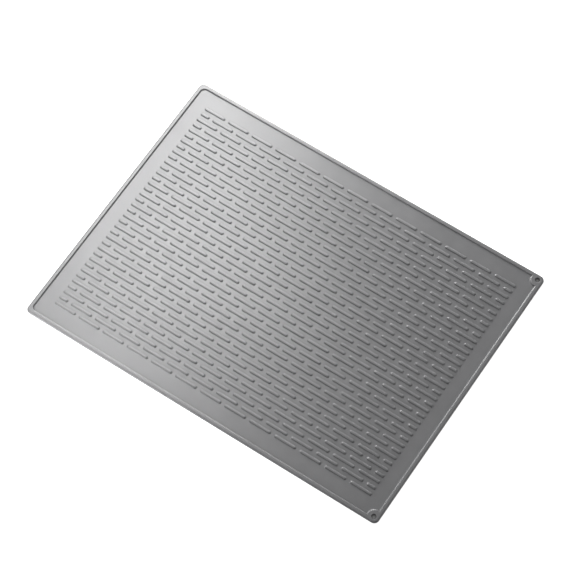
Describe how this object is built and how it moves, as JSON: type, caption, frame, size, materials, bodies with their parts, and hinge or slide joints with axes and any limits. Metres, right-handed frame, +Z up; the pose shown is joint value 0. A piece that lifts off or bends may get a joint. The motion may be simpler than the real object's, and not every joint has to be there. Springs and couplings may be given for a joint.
{
  "type": "silicone dish drying mat",
  "caption": "Rectangular one-piece silicone drying mat: shallow rimmed tray with low ribs laid like bricks and corner bosses with hang holes at one end.",
  "frame": {"origin": "middle of the flat underside", "axes": "+X along the long side towards the end with the hang holes, +Y along the short side, +Z up out of the ribbed face"},
  "size_m": [0.61, 0.457, 0.0032],
  "materials": {
    "grey_silicone": "satin moulded silicone"
  },
  "bodies": {
    "root": {"silicone_mat": "grey_silicone"}
  },
  "joints": []
}
